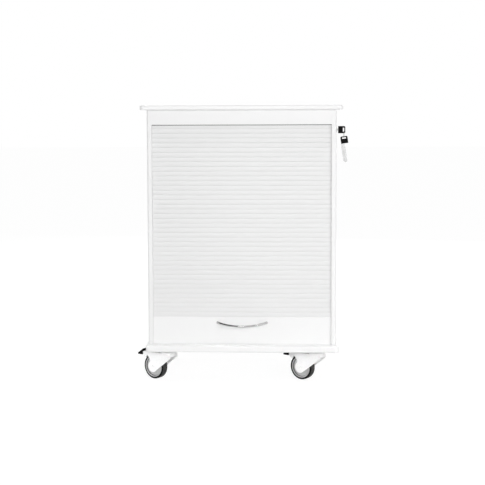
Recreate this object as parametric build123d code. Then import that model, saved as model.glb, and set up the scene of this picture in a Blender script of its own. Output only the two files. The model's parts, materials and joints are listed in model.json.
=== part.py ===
from build123d import *
import math
import os

# Mobile cabinet with a vertical roller shutter, on four swivel castors. Millimetres.
# +Z is up, +X is to the right as seen from the front, and the front faces -Y.
# The origin is on the floor, under the middle of the base panel.

# ---- case ---------------------------------------------------------------------------
total_height = 1090.0
board = 18.0  # side, top and shelf boards
base_thickness = 25.0
body_width = 734.0  # over the two side panels
body_depth = 470.0
front_overhang = 30.0  # top and base stand out past the body in front
top_side_overhang = 24.0
base_side_overhang = 9.0
edge_band = 6.0
band_edge_radius = 5.0
corner_radius = 14.0
side_edge_radius = 7.0  # on the side panel's outer front edge
header_height = 57.0
header_thickness = 10.0
back_thickness = 8.0
back_inset = 2.0

# ---- shutter ------------------------------------------------------------------------
slat_count = 41  # slats between the rail and the header
tail_slats = 3  # slats that lie round the front bend when the shutter is closed
curtain_tuck = 3.5  # the front bend starts this far above the header's lower edge
slat_recess = 12.0  # slats' front faces behind the front of the case
slat_thickness = 7.6
slat_gap = 0.4
slat_edge_radius = 1.6
slat_end_in_track = 6.0
rail_height = 107.0
rail_thickness = 16.0
rail_side_gap = 0.6
rail_edge_radius = 1.2
glide_centres = (14.0, 38.0)  # above the rail's lower edge
glide_length = 20.0
glide_end_gap = 0.7
glide_side_gap = 0.5
rail_proud = 1.2  # the rail's face stands this far in front of the slats
backing_thickness = 0.8
backing_side_margin = 25.0
backing_end_gap = 11.0  # canvas ends this far short of the bend's upper end
open_gap = 5.0  # between the raised rail and the header
stop_block = (24.0, 12.0, 14.0)
stop_behind_track = 1.0
buffer_radius = 5.0
buffer_height = 0.4
buffer_spacing = 0.8 * body_width
rest_gap = 0.3

# ---- track --------------------------------------------------------------------------
track_gap = 9.0
track_wall = 1.5
track_depth = 8.0
track_fit = 0.1
top_run_drop = 12.0  # centre of the top run below the top panel
back_run_gap = 14.0  # centre of the back run in front of the back panel
back_run_length = 375.0
liner_offset = 9.0  # liner's outer face inside the track's centre line
liner_thickness = 4.0

# ---- shelves ------------------------------------------------------------------------
shelf_heights = {"shelf_lower": 420.0, "shelf_upper": 690.0}  # top faces
shelf_side_gap = 1.0
shelf_front_gap = 22.0  # shelf's front edge behind the slats
shelf_rear_gap = 1.0
shelf_chamfer = 1.0
pin_radius = 2.5
pin_depth = 8.0
pin_nose = (9.0, 8.0, 6.0)  # flat nose under the shelf
pin_drop = 3.0  # pin's axis below the shelf
pin_hole_steps = range(-2, 3)  # holes above and below each pin
pin_row_pitch = 32.0
pin_inset = 50.0

# ---- joints of the boards -----------------------------------------------------------
dowel_radius = 3.0
dowel_length = 30.0
dowel_inset = 5.5  # dowel axis from the side panel's outer face
dowel_hole_spare = 1.0
cam_radius = 7.5
cam_depth = 14.0
cam_setback = 34.0
cam_bolt_radius = 2.5
cam_bolt_bite = 11.0
cam_slot = (10.0, 2.0)  # for the screwdriver, and as deep as it is wide
bore_fit = 0.1

# ---- handle -------------------------------------------------------------------------
handle_spacing = 192.0
handle_projection = 41.0
handle_height_middle = 8.0
handle_height_end = 10.0
handle_sag = 9.0  # middle of the bow below its ends
handle_thickness = 6.0
handle_foot_width = 9.0
handle_foot_depth = 7.0
handle_drop = 21.5  # handle's centre line below the rail's top edge
handle_screw_radius = 2.0
handle_screw_fit = 0.05
handle_screw_end = 5.0  # from the rail's face into the foot
screw_head_radius = 4.0
screw_head_height = 2.5

# ---- lock and keys ------------------------------------------------------------------
lock_behind_front = 50.0
lock_below_header = 21.0
lock_radius = 9.0
lock_flange_radius = 12.0
lock_flange_thickness = 3.0
lock_nut_thickness = 5.0
lock_nut_wall = 4.0
core_radius = 5.5
core_fit = 0.06
cam_gap = 1.0  # between the nut and the cam
cam_plate_thickness = 2.5
cam_plate_width = 12.0
cam_tip_width = 8.0
cam_tip_length = 5.0
cam_hub_radius = 8.0
cam_screw_radius = 3.5
cam_clearance = 1.0
notch_above_axis = 7.5
cam_engagement = 3.4  # how far the cam's tip reaches into the slats
key_shank_length = 24.0
key_blade_thickness = 2.2
key_blade_width = 8.0
keyway_fit = 0.1
bow_width = 28.0
bow_height = 28.0
bow_thickness = 2.8
bow_start = 8.0  # bow's inner edge from the side panel
bow_corner = 5.0
bow_slot_length = 15.0
bow_slot_width = 5.2
bow_slot_corner = 1.0
bow_slot_from_end = 7.0
ring_radius = 12.6
ring_wire = 0.9
ring_play = 0.2  # between the ring and the corners of the bow that it swings round
ring_side_gap = 0.4
spare_blade_length = 74.0
spare_blade_width = 16.0
spare_blade_step = (15.0, 2.0)  # step in one edge: from the bow, and its depth
spare_blade_point = 5.0
spare_tilt = 8.0
spare_blade_offset = 7.0  # blade is off the bow's middle

# ---- castors ------------------------------------------------------------------------
wheel_radius = 50.0
tyre_thickness = 8.0
wheel_width = 30.0
castor_trail = 68.0
castor_turn = 145.0  # direction in which the wheels trail, from +X
castor_side_setback = 82.0  # swivel axis from the base panel's side edge
castor_front_setback = 78.0
castor_rear_setback = 80.0
axle_radius = 4.0
axle_fit = 0.06
axle_seat_fit = 0.02
axle_nut_radius = 7.5
axle_head_height = 4.0
axle_nut_height = 5.0
hub_radius = 13.0
hub_end_gap = 0.4
rim_width = 5.0
web_recess = 7.0
boss_radius = 17.0
tyre_edge_radius = 3.0
fork_plate = 3.5
fork_wheel_gap = 3.0
fork_disc_radius = 22.0
fork_front = -28.0
fork_front_rise = 46.0  # lower end of the fork's front above the axle
fork_bridge_gap = 4.5  # fork's bridge above the tyre
fork_bridge = 4.0
fork_rear = castor_trail + 34.0
head_radius = 31.0
head_height = 10.0
race_radius = 25.0
race_gap = 0.4
race_height = 7.1
plate_length = 100.0
plate_width = 85.0
plate_thickness = 4.0
plate_corner_radius = 6.0
plate_hole_spacing = (80.0, 60.0)
plate_hole_fit = 0.3
kingpin_radius = 6.0
kingpin_head_radius = 10.0
kingpin_head_height = 3.1
kingpin_head_gap = 0.3
plate_screw_radius = 3.0
plate_screw_length = 16.0
plate_screw_head = (5.5, 2.5)  # radius and height
pedal_pivot = (castor_trail + 40.0, 101.0)  # along the trail and up
pedal_pin_radius = 3.0
pedal_ear_radius = 8.0
pedal_side_gap = 1.0
pad_start = 122.0
pad_end = 155.0
pad_half_width = 12.0
brake_gap = 0.4

# ---- derived places -----------------------------------------------------------------
bridge_z = 2 * wheel_radius + fork_bridge_gap
head_bottom = bridge_z + fork_bridge
head_top = head_bottom + head_height
plate_bottom = head_top + race_gap + race_height
castor_height = plate_bottom + plate_thickness
base_top = castor_height + base_thickness
body_top = total_height - board
case_depth = body_depth + front_overhang
front_edge = -case_depth / 2
rear_edge = case_depth / 2
body_front = front_edge + front_overhang
side_outer = body_width / 2
side_inner = side_outer - board
header_bottom = body_top - header_height
slat_y = body_front + slat_recess + slat_thickness / 2
slat_front = slat_y - slat_thickness / 2
slat_back = slat_y + slat_thickness / 2
rail_front = slat_front - rail_proud
rail_back = rail_front + rail_thickness
rail_bottom = base_top + buffer_height + rest_gap
rail_top = rail_bottom + rail_height
bend_start = header_bottom + curtain_tuck
slat_pitch = (bend_start - rail_top) / slat_count
slat_width = slat_pitch - slat_gap
travel = header_bottom - open_gap - rail_top
top_run_z = body_top - top_run_drop
bend_radius = top_run_z - bend_start
back_inner = rear_edge - back_inset - back_thickness
back_run_y = back_inner - back_run_gap
track_outer = track_gap + 2 * track_wall
lock_y = body_front + lock_behind_front
lock_z = header_bottom - lock_below_header
axle_z = wheel_radius


def box(x0, x1, y0, y1, z0, z1):
    """Box between two corners."""
    size = (x1 - x0, y1 - y0, z1 - z0)
    middle = ((x0 + x1) / 2, (y0 + y1) / 2, (z0 + z1) / 2)
    return Pos(*middle) * Box(*size)


def rod_x(radius, x0, x1, y, z):
    """Cylinder along X."""
    return Pos((x0 + x1) / 2, y, z) * Rot(0, 90, 0) * Cylinder(radius, abs(x1 - x0))


def rod_y(radius, y0, y1, x, z):
    """Cylinder along Y."""
    return Pos(x, (y0 + y1) / 2, z) * Rot(90, 0, 0) * Cylinder(radius, abs(y1 - y0))


def rod_z(radius, z0, z1, x, y):
    """Cylinder along Z."""
    return Pos(x, y, (z0 + z1) / 2) * Cylinder(radius, abs(z1 - z0))


def prism_x(outline, x0, x1):
    """Outline drawn in Y and Z, extruded from x0 to x1."""
    return Plane.YZ.offset(x0) * extrude(outline, x1 - x0)


def group(solids):
    """Separate solids kept as one node."""
    return Compound(children=list(solids))


def mirrored(part):
    """The same piece on the other side of the cabinet."""
    return mirror(part, Plane.YZ)


# ---- boards -------------------------------------------------------------------------
def rounded_board(half_width, z0, z1):
    """Board of the case's full depth with rounded corners, for the top and the base."""
    outline = RectangleRounded(2 * half_width, case_depth, corner_radius)
    return Pos(0, 0, z0) * extrude(outline, z1 - z0)


def banded_board(half_width, z0, z1):
    """Board and the edge band that runs round it, its long edges rounded."""
    outer = rounded_board(half_width, z0, z1)
    rims = outer.edges().group_by(Axis.Z)
    outer = fillet(rims[0] + rims[-1], band_edge_radius)
    inner_width, inner_depth = 2 * (half_width - edge_band), case_depth - 2 * edge_band
    outline = RectangleRounded(inner_width, inner_depth, corner_radius - edge_band)
    inner = Pos(0, 0, z0) * extrude(outline, z1 - z0)
    return inner, outer - inner


def joint_rows():
    """Height of each board joint, and +1 where the side panel lies above it, else -1."""
    return ((base_top, 1), (body_top, -1))


dowel_places = (-0.28 * body_depth, 0.05 * body_depth, 0.36 * body_depth)
cam_places = (-0.2 * body_depth, 0.25 * body_depth)
dowel_x = side_outer - dowel_inset


def dowels(fit=0.0):
    """Right-hand dowels, or with a fit the holes that take them."""
    rows = [z for z, _ in joint_rows()]
    half = dowel_length / 2 + (dowel_hole_spare if fit else 0.0)
    radius = dowel_radius + fit
    return [rod_z(radius, z - half, z + half, dowel_x, y) for z in rows for y in dowel_places]


def cams(fit=0.0):
    """Right-hand cam discs with their bolts, or with a fit the holes that take them."""
    solids = []
    for z, up in joint_rows():
        for y in cam_places:
            disc_z = z + up * cam_setback
            disc = rod_x(cam_radius + fit, side_inner, side_inner + cam_depth + fit, y, disc_z)
            low, high = sorted((z - up * cam_bolt_bite, disc_z))
            bolt = rod_z(cam_bolt_radius + fit, low, high, dowel_x, y)
            if not fit:
                length, wide = cam_slot
                disc = disc - Pos(side_inner, y, disc_z) * Box(2 * wide, length, wide)
            solids.append(disc + bolt)
    return solids


def both_sides(solids):
    """Right-hand solids and their mirror images."""
    return list(solids) + [mirrored(s) for s in solids]


def drill(part, cutters):
    """Part less every cutter."""
    for cutter in cutters:
        part = part - cutter
    return part


# ---- the shutter's route ------------------------------------------------------------
def route_loop(inset):
    """Outline in Y and Z at a distance inside the track's centre line, open at the foot."""
    left, right = slat_y + inset, back_run_y - inset
    top, foot = top_run_z - inset, base_top - 50
    radius = bend_radius - inset
    with BuildSketch() as sketch:
        with Locations(((left + right) / 2, (top + foot) / 2)):
            loop = Rectangle(right - left, top - foot)
        corners = loop.vertices().sort_by(Axis.Y)[-2:]
        fillet(corners, radius)
    return sketch.sketch


def route_strip(inset_outer, inset_inner, front_foot, back_foot):
    """Strip between two insets, cut off at the foot of the front and of the back run."""
    strip = route_loop(inset_outer) - route_loop(inset_inner)
    middle = (slat_y + back_run_y) / 2
    low = base_top - 60
    front_cut = Pos((middle + front_edge) / 2, (low + front_foot) / 2) * Rectangle(
        middle - front_edge, front_foot - low
    )
    back_cut = Pos((middle + rear_edge) / 2, (low + back_foot) / 2) * Rectangle(
        rear_edge - middle, back_foot - low
    )
    return strip - front_cut - back_cut


back_run_foot = header_bottom - back_run_length


def track():
    """Right-hand track: a channel let into the side panel, open towards the middle."""
    half = track_outer / 2
    body = prism_x(route_strip(-half, half, base_top, back_run_foot), side_inner, side_inner + track_depth)
    gap = track_gap / 2
    channel = route_strip(-gap, gap, base_top - 1, back_run_foot + track_wall)
    return body - prism_x(channel, side_inner - 1, side_inner + track_depth - track_wall)


def track_groove():
    """Groove in the right-hand side panel for the track."""
    half = track_outer / 2 + track_fit
    strip = route_strip(-half, half, base_top - 1, back_run_foot - track_fit)
    return prism_x(strip, side_inner - 1, side_inner + track_depth + track_fit)


# ---- shelves ------------------------------------------------------------------------
shelf_front = slat_back + shelf_front_gap
liner_front_face = back_run_y - liner_offset - liner_thickness
shelf_rear = liner_front_face - shelf_rear_gap
pin_ys = (shelf_front + pin_inset, shelf_rear - pin_inset)


def shelf(top_face):
    """Loose shelf between the side panels."""
    half = side_inner - shelf_side_gap
    plain = box(-half, half, shelf_front, shelf_rear, top_face - board, top_face)
    return chamfer(plain.edges().filter_by(Axis.X).sort_by(Axis.Y)[:2], shelf_chamfer)


def shelf_pin(y, underside):
    """Right-hand pin: round in the side panel, with a flat nose under the shelf."""
    shank = rod_x(pin_radius, side_inner, side_inner + pin_depth, y, underside - pin_drop)
    length, width, height = pin_nose
    return shank + Pos(side_inner - length / 2, y, underside - height / 2) * Box(*pin_nose)


def pin_holes():
    """Rows of holes in the right-hand panel, above and below each pin."""
    radius = pin_radius + bore_fit
    holes = []
    for top_face in shelf_heights.values():
        for step in pin_hole_steps:
            z = top_face - board - pin_drop + step * pin_row_pitch
            holes += [rod_x(radius, side_inner - 1, side_inner + pin_depth + 1, y, z) for y in pin_ys]
    return holes


# ---- shutter ------------------------------------------------------------------------
def slat_outline():
    """Section of a slat about its centre, front edges rounded."""
    with BuildSketch() as sketch:
        plain = Rectangle(slat_thickness, slat_width)
        fillet(plain.vertices().group_by(Axis.X)[0], slat_edge_radius)
    return sketch.sketch


slat_half = side_inner + slat_end_in_track
cam_reach = lock_y - slat_back + cam_engagement
notch_low = lock_z - math.sqrt(cam_reach**2 - (lock_y - slat_back) ** 2) - 3 * cam_clearance
notch_high = lock_z + notch_above_axis
pocket_low = lock_z - math.sqrt(cam_reach**2 - (lock_y - rail_back) ** 2) - 5 * cam_clearance
cam_x1 = side_inner - lock_nut_thickness - cam_gap
cam_x0 = cam_x1 - cam_plate_thickness


def cam_notch():
    """Room in the slats for the lock's cam."""
    x0, x1 = cam_x0 - cam_clearance, cam_x1 + cam_clearance
    deep = cam_engagement + 0.8 * cam_clearance
    return box(x0, x1, slat_back - deep, slat_back + 2, notch_low, notch_high)


def slat(index):
    """Slat counted up from the rail. The last ones lie round the front bend."""
    plain = prism_x(slat_outline(), -slat_half, slat_half)
    if index < slat_count:
        centre = rail_top + (index + 0.5) * slat_pitch
        placed = Pos(0, slat_y, centre) * plain
        low, high = centre - slat_pitch / 2, centre + slat_pitch / 2
        return placed - cam_notch() if high > notch_low and low < notch_high else placed
    inner_radius = bend_radius - slat_thickness / 2
    step = 2 * math.degrees(math.atan(slat_pitch / 2 / inner_radius))
    angle = (index - slat_count + 0.5) * step
    reach = inner_radius + slat_thickness / 2
    place = Pos(0, slat_y + bend_radius, bend_start) * Rot(-angle, 0, 0) * Pos(0, -reach, 0)
    return place * plain


def rail():
    """Solid bottom rail, with a pocket at its upper right corner that clears the cam."""
    half = side_inner - rail_side_gap
    blank = box(-half, half, rail_front, rail_back, rail_bottom, rail_top)
    blank = fillet(blank.edges().filter_by(Axis.X).sort_by(Axis.Y)[:2], rail_edge_radius)
    x0, y0 = cam_x0 - 2 * cam_clearance, slat_back - cam_engagement - 1.5 * cam_clearance
    pocket = box(x0, half + 1, y0, rail_back + 1, pocket_low - travel, rail_top + 1)
    radius = handle_screw_radius + bore_fit
    holes = [rod_y(radius, rail_front - 1, rail_back + 1, x, handle_z) for x in handle_xs]
    return drill(blank, [pocket, *holes])


handle_z = rail_top - handle_drop
handle_xs = (-handle_spacing / 2, handle_spacing / 2)


def bow_strip(outer_sag, inner_sag, half_span):
    """Strip between two arcs in plan, bowed towards the front."""
    y = rail_front
    outer = ThreePointArc((-half_span, y), (0, y - outer_sag), (half_span, y))
    inner_half = half_span - (outer_sag - inner_sag)
    inner = ThreePointArc((inner_half, y), (0, y - inner_sag), (-inner_half, y))
    left = Line((-inner_half, y), (-half_span, y))
    right = Line((half_span, y), (inner_half, y))
    return make_face([outer, right, inner, left])


def handle():
    """Bow handle: a bent strip, slimmer in the middle, with a foot at each end."""
    half_span = handle_spacing / 2 + handle_foot_width / 2
    strip = bow_strip(handle_projection, handle_projection - handle_thickness, half_span)
    tall, slim = handle_height_end / 2, handle_height_middle / 2
    low = min(-tall, -slim - handle_sag)
    strip_solid = Pos(0, 0, handle_z + low) * extrude(strip, tall - low)
    top = ThreePointArc((-half_span, tall), (0, slim - handle_sag), (half_span, tall))
    bottom = ThreePointArc((half_span, -tall), (0, -slim - handle_sag), (-half_span, -tall))
    right_end = Line((half_span, tall), (half_span, -tall))
    left_end = Line((-half_span, -tall), (-half_span, tall))
    face = make_face([top, right_end, bottom, left_end])
    front = Plane.XZ.offset(-rail_front - 1) * extrude(face, handle_projection + 5)
    whole = strip_solid & (Pos(0, 0, handle_z) * front)
    for x in handle_xs:
        foot = Box(handle_foot_width, handle_foot_depth, handle_height_end)
        whole = whole + Pos(x, rail_front - handle_foot_depth / 2, handle_z) * foot
    tip = rail_front - handle_screw_end - 0.5
    return drill(whole, [rod_y(handle_screw_radius, tip, rail_front, x, handle_z) for x in handle_xs])


def handle_screws():
    """Screws through the rail into the handle's feet."""
    radius, tip = handle_screw_radius - handle_screw_fit, rail_front - handle_screw_end
    return [
        rod_y(radius, tip, rail_back, x, handle_z)
        + rod_y(screw_head_radius, rail_back, rail_back + screw_head_height, x, handle_z)
        for x in handle_xs
    ]


def glides():
    """Plastic glides on the rail's ends, which run in the tracks."""
    inner = side_inner - rail_side_gap
    outer = side_inner + track_depth - track_wall - glide_end_gap
    block = Box(outer - inner, track_gap - 2 * glide_side_gap, glide_length)
    x = (inner + outer) / 2
    return both_sides([Pos(x, slat_y, rail_bottom + centre) * block for centre in glide_centres])


def backing():
    """Canvas that joins the slats behind, round the front bend as far as the last slat."""
    half = side_inner - backing_side_margin
    inset = slat_thickness / 2
    strip = route_strip(inset, inset + backing_thickness, rail_top, body_top + 100)
    end = slat_y + bend_radius - backing_end_gap
    beyond = box(-half - 1, half + 1, end, rear_edge, rail_top, body_top)
    return prism_x(strip, -half, half) - beyond


def stops():
    """Blocks on the side panels, which the rail meets when the shutter is open."""
    width, depth, height = stop_block
    low = rail_top + travel + rest_gap
    y0 = slat_y + track_outer / 2 + stop_behind_track
    return both_sides([box(side_inner - width, side_inner, y0, y0 + depth, low, low + height)])


def buffers():
    """Rubber buffers on the base panel, under the rail."""
    middle = (rail_front + rail_back) / 2
    places = (-buffer_spacing / 2, buffer_spacing / 2)
    return [rod_z(buffer_radius, base_top, base_top + buffer_height, x, middle) for x in places]


# ---- lock ---------------------------------------------------------------------------
def at_lock(solid):
    """Solid drawn about the lock's axis, moved to its place."""
    return Pos(0, lock_y, lock_z) * solid


def lock_housing():
    """Barrel through the side panel with a flange outside."""
    inside = side_inner - lock_nut_thickness - 0.5
    barrel = rod_x(lock_radius, inside, side_outer, 0, 0)
    flange = rod_x(lock_flange_radius, side_outer, side_outer + lock_flange_thickness, 0, 0)
    flange = chamfer(flange.edges().filter_by(GeomType.CIRCLE).sort_by(Axis.X)[-1], 1.2)
    bore = rod_x(core_radius + core_fit, inside - 1, side_outer + lock_flange_thickness + 1, 0, 0)
    return at_lock(barrel + flange - bore)


def lock_nut():
    """Ring nut that clamps the housing from inside."""
    ring = rod_x(lock_radius + lock_nut_wall, side_inner - lock_nut_thickness, side_inner, 0, 0)
    return at_lock(ring - rod_x(lock_radius + bore_fit, side_inner - 20, side_inner + 1, 0, 0))


def lock_core():
    """Plug that turns with the key."""
    outside = side_outer + lock_flange_thickness
    plug = rod_x(core_radius, cam_x1, outside, 0, 0)
    half_y, half_z = key_blade_thickness / 2 + keyway_fit, key_blade_width / 2 + keyway_fit
    keyway = box(outside - key_shank_length, outside + 1, -half_y, half_y, -half_z, half_z)
    return at_lock(plug - keyway)


def lock_cam():
    """Cam that reaches into the slats when the key is upright."""
    half, half_tip = cam_plate_width / 2, cam_tip_width / 2
    arm = box(cam_x0, cam_x1, -cam_reach + cam_tip_length - 1, 0, -half, half)
    tip = box(cam_x0, cam_x1, -cam_reach, -cam_reach + cam_tip_length, -half_tip, half_tip)
    hub = rod_x(cam_hub_radius, cam_x0, cam_x1, 0, 0)
    screw = rod_x(cam_screw_radius, cam_x0 - cam_plate_thickness, cam_x0, 0, 0)
    return at_lock(arm + tip + hub + screw)


def bow():
    """Plastic bow in X and Z about its blade axis, slot near the outer end. It starts at x = 0."""
    with BuildSketch() as sketch:
        with Locations((bow_width / 2, 0)):
            plate = Rectangle(bow_width, bow_height)
        fillet(plate.vertices().group_by(Axis.X)[-1], bow_corner)
        with Locations((bow_width - bow_slot_from_end, 0)):
            RectangleRounded(bow_slot_width, bow_slot_length, bow_slot_corner, mode=Mode.SUBTRACT)
    return Plane.XZ.offset(-bow_thickness / 2) * extrude(sketch.sketch, bow_thickness)


def key_bow():
    """Bow of the key in the lock."""
    return at_lock(Pos(side_outer + bow_start, 0, 0) * bow())


def key_blade():
    """Blade in the plug, up to the bow."""
    end = side_outer + bow_start
    start = side_outer + lock_flange_thickness - key_shank_length + 1
    blade = Box(end - start, key_blade_thickness, key_blade_width)
    return at_lock(Pos((start + end) / 2, 0, 0) * blade)


def ring_reach(bar_height):
    """Distance from the middle of a bow's bar to the wire that swings round it."""
    return math.hypot(bar_height, bow_thickness) / 2 + ring_wire + ring_play


slot_x = side_outer + bow_start + bow_width - bow_slot_from_end
ring_x = slot_x + bow_slot_width / 2 - ring_wire - ring_side_gap
key_bar_height = (bow_height - bow_slot_length) / 2
key_bar_z = lock_z - (bow_height + bow_slot_length) / 4
ring_centre_z = key_bar_z + ring_reach(key_bar_height) - ring_radius
spare_bar_height = bow_slot_from_end - bow_slot_width / 2
spare_bar_z = ring_centre_z - ring_radius + ring_reach(spare_bar_height)


def key_ring():
    """Wire ring through the slots of both keys."""
    return Pos(ring_x, lock_y, ring_centre_z) * Rot(0, 90, 0) * Torus(ring_radius, ring_wire)


def hang_spare(solid):
    """Places a key drawn with its bow at x = 0 and its blade towards -X on the ring."""
    upright = Rot(0, -90, 0) * (Pos(spare_bar_height / 2 - bow_width, 0, 0) * solid)
    return Pos(ring_x, lock_y, spare_bar_z) * Rot(0, -spare_tilt, 0) * upright


def spare_blade():
    """Blade of the spare key, with a step on one edge and a pointed tip."""
    half = spare_blade_width / 2
    step_from_bow, step_depth = spare_blade_step
    tip, shoulder = -spare_blade_length, -spare_blade_length + spare_blade_point
    points = [
        (0, -half + step_depth), (1 - step_from_bow, -half + step_depth), (-1 - step_from_bow, -half),
        (shoulder, -half), (tip, 0), (shoulder, half), (0, half),
    ]
    face = Pos(0, spare_blade_offset) * make_face(Polyline(*points, close=True))
    return Plane.XZ.offset(-key_blade_thickness / 2) * extrude(face, key_blade_thickness)


# ---- castors ------------------------------------------------------------------------
half_wheel = wheel_width / 2
fork_inner = half_wheel + fork_wheel_gap
fork_outer = fork_inner + fork_plate


def side_face(points, radius, corners):
    """Closed outline along the trail and up, with the named corners rounded."""
    with BuildSketch() as sketch:
        with BuildLine():
            Polyline(*points, close=True)
        make_face()
        vertices = sketch.vertices()
        picked = [min(vertices, key=lambda v: math.dist((v.X, v.Y), points[i])) for i in corners]
        fillet(picked, radius)
    return sketch.sketch


def trail_prism(outline, w0, w1):
    """Outline along the trail and up, extruded across the wheel from w0 to w1."""
    return Plane.XZ.offset(-w1) * extrude(outline, w1 - w0)


def fork(braked):
    """Fork: two plates from the axle up to a bridge, closed in front, with ears for a brake."""
    axle = (castor_trail, axle_z)
    slope = math.atan2(fork_disc_radius + fork_front_rise, castor_trail - fork_front)
    low = (castor_trail - fork_disc_radius * math.sin(slope), axle_z - fork_disc_radius * math.cos(slope))
    front_foot = (fork_front, axle_z + fork_front_rise)
    waist = (castor_trail + 10.0, axle_z + 24.0)
    points = [
        (fork_front, head_bottom), front_foot, low, axle,
        (castor_trail + fork_disc_radius - 0.5, axle_z + 3), waist,
        (fork_rear - 8, bridge_z - 10), (fork_rear, head_bottom),
    ]
    outline = side_face(points, 8.0, [1, 5])
    disc = Pos(*axle) * Circle(fork_disc_radius)
    plate_outline = outline + disc
    if braked:
        ear_x, ear_z = pedal_pivot
        low_z = ear_z - pedal_ear_radius
        neck = Pos((fork_rear - 12 + ear_x) / 2, (low_z + head_bottom) / 2) * Rectangle(
            ear_x - fork_rear + 12, head_bottom - low_z
        )
        plate_outline = plate_outline + neck + Pos(ear_x, ear_z) * Circle(pedal_ear_radius)
    plates = trail_prism(plate_outline, fork_inner, fork_outer)
    plates = plates + trail_prism(plate_outline, -fork_outer, -fork_inner)
    bridge = box(fork_front, fork_rear, -fork_outer, fork_outer, bridge_z, head_bottom)
    nose_foot = axle_z + fork_front_rise + fork_plate
    nose = box(fork_front, fork_front + fork_plate, -fork_outer, fork_outer, nose_foot, head_bottom)
    head = rod_z(head_radius, head_bottom, head_top, 0, 0)
    solid = plates + bridge + nose + head
    holes = [
        rod_y(axle_radius + axle_seat_fit, -fork_outer - 1, fork_outer + 1, castor_trail, axle_z),
        rod_z(kingpin_radius + axle_fit, bridge_z - 1, head_top + 1, 0, 0),
    ]
    if braked:
        holes.append(rod_y(pedal_pin_radius + axle_fit, -fork_outer - 1, fork_outer + 1, *pedal_pivot))
    return drill(solid, holes)


def axle():
    """Axle bolt through the fork, with a head and a nut."""
    shaft = rod_y(axle_radius, -fork_outer, fork_outer, castor_trail, axle_z)
    hexagon = RegularPolygon(axle_nut_radius, 6)
    head = Pos(castor_trail, fork_outer, axle_z) * Rot(-90, 0, 0) * extrude(hexagon, axle_head_height)
    nut = Pos(castor_trail, -fork_outer, axle_z) * Rot(90, 0, 0) * extrude(hexagon, axle_nut_height)
    return shaft + head + nut


def wheel_core():
    """Wheel centre: rim, web and hub in one."""
    rim_radius = wheel_radius - tyre_thickness
    place = Pos(castor_trail, 0, axle_z) * Rot(90, 0, 0)
    disc = Cylinder(rim_radius, wheel_width)
    pan = Cylinder(rim_radius - rim_width, web_recess) - Cylinder(boss_radius, web_recess)
    pan_z = half_wheel - web_recess / 2
    disc = disc - Pos(0, 0, pan_z) * pan - Pos(0, 0, -pan_z) * pan
    hub = Cylinder(hub_radius, 2 * (fork_inner - hub_end_gap))
    return place * (disc + hub - Cylinder(axle_radius + axle_fit, 3 * wheel_width))


def tyre():
    """Rubber tyre with rounded shoulders."""
    place = Pos(castor_trail, 0, axle_z) * Rot(90, 0, 0)
    outer = Cylinder(wheel_radius, wheel_width)
    outer = fillet(outer.edges().filter_by(GeomType.CIRCLE), tyre_edge_radius)
    return place * (outer - Cylinder(wheel_radius - tyre_thickness, 2 * wheel_width))


def castor_plate():
    """Mounting plate with the upper race under it."""
    outline = RectangleRounded(plate_length, plate_width, plate_corner_radius)
    flat = Pos(0, 0, plate_bottom) * extrude(outline, plate_thickness)
    race = rod_z(race_radius, head_top + race_gap, plate_bottom, 0, 0)
    radius = plate_screw_radius + plate_hole_fit
    holes = [rod_z(radius, plate_bottom - 1, castor_height + 1, x, y) for x, y in plate_holes()]
    king = rod_z(kingpin_radius, head_top, castor_height + 1, 0, 0)
    return drill(flat + race, [*holes, king])


def plate_holes():
    """Screw places of a castor plate about the swivel axis."""
    dx, dy = (s / 2 for s in plate_hole_spacing)
    return [(sx * dx, sy * dy) for sx in (-1, 1) for sy in (-1, 1)]


def kingpin():
    """Kingpin fixed in the plate, with a head under the fork's bridge."""
    head_top_z = bridge_z - kingpin_head_gap
    shaft = rod_z(kingpin_radius, head_top_z, castor_height, 0, 0)
    return shaft + rod_z(kingpin_head_radius, head_top_z - kingpin_head_height, head_top_z, 0, 0)


def plate_screw(x, y):
    """Wood screw through the plate into the base panel."""
    radius, height = plate_screw_head
    shaft = rod_z(plate_screw_radius, plate_bottom, castor_height + plate_screw_length, x, y)
    return shaft + rod_z(radius, plate_bottom - height, plate_bottom, x, y)


def brake_lever():
    """Lever on its pin, with a shoe behind the tyre and an arm out to the pad."""
    half = fork_inner - pedal_side_gap
    s, z = pedal_pivot
    pin = rod_y(pedal_pin_radius, -fork_outer, fork_outer, s, z)
    points = [
        (s - 5, z + 2), (s - 6, z - 16), (s - 1, z - 20), (s + 7, z - 17),
        (pad_start, z - 9), (pad_start, z + 4), (s - 3, z + 4),
    ]
    blank = trail_prism(make_face(Polyline(*points, close=True)), -half, half)
    tyre_space = rod_y(wheel_radius + brake_gap, -half - 1, half + 1, castor_trail, axle_z)
    return blank - tyre_space + pin


def brake_pad():
    """Foot pad of the brake, sloping down to its tip."""
    z = pedal_pivot[1]
    points = [
        (pad_start, z - 9), (pad_start, z + 14), (pad_start + 4, z + 14),
        (pad_end, z - 7), (pad_end - 1, z - 12), (pad_start + 10, z - 12),
    ]
    return trail_prism(side_face(points, 1.5, [2, 3, 4]), -pad_half_width, pad_half_width)


castor_x = side_outer + base_side_overhang - castor_side_setback
castor_places = {
    "front_left": (-castor_x, front_edge + castor_front_setback),
    "front_right": (castor_x, front_edge + castor_front_setback),
    "rear_left": (-castor_x, rear_edge - castor_rear_setback),
    "rear_right": (castor_x, rear_edge - castor_rear_setback),
}


def across(y0, y1, z0, z1):
    """Panel between the two side panels."""
    return box(-side_inner, side_inner, y0, y1, z0, z1)


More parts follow.
